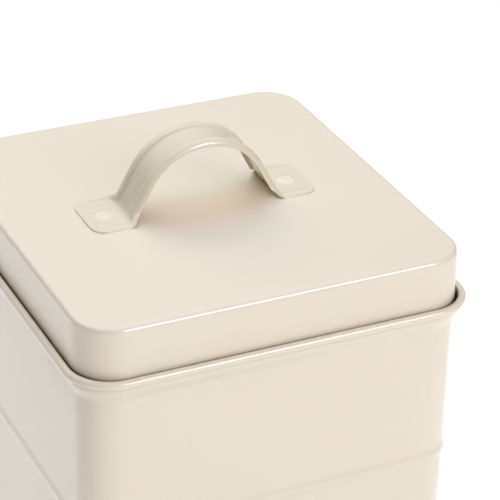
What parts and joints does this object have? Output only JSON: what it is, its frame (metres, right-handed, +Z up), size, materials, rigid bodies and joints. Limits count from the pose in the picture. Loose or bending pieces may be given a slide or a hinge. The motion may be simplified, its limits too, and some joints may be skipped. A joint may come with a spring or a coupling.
{
  "type": "bread bin",
  "caption": "Near-square upright painted steel bread bin with ribbed walls, rolled rim and a lift-off lid carrying a pressed strap handle.",
  "frame": {"origin": "centre of the base, on the surface the bin stands on", "axes": "+Z up, +X along the lid handle, +Y towards the back wall with the seam"},
  "size_m": [0.2088, 0.2168, 0.3264],
  "materials": {
    "bin_paint": "gloss cream powder coat",
    "lid_paint": "gloss cream powder coat",
    "handle_paint": "gloss cream powder coat",
    "rivet_paint": "gloss cream powder coat",
    "wire_steel": "drawn wire"
  },
  "bodies": {
    "bin": {"body_wall": "bin_paint", "rim_wire": "wire_steel", "base_panel": "bin_paint"},
    "lid": {"lid_pan": "lid_paint", "lid_handle": "handle_paint", "left_handle_rivet": "rivet_paint", "right_handle_rivet": "rivet_paint"}
  },
  "joints": [
    {"name": "lid_lift", "type": "slide", "parent": "bin", "child": "lid", "axis": [0, 0, 1], "range_m": [0, 0.12]}
  ]
}
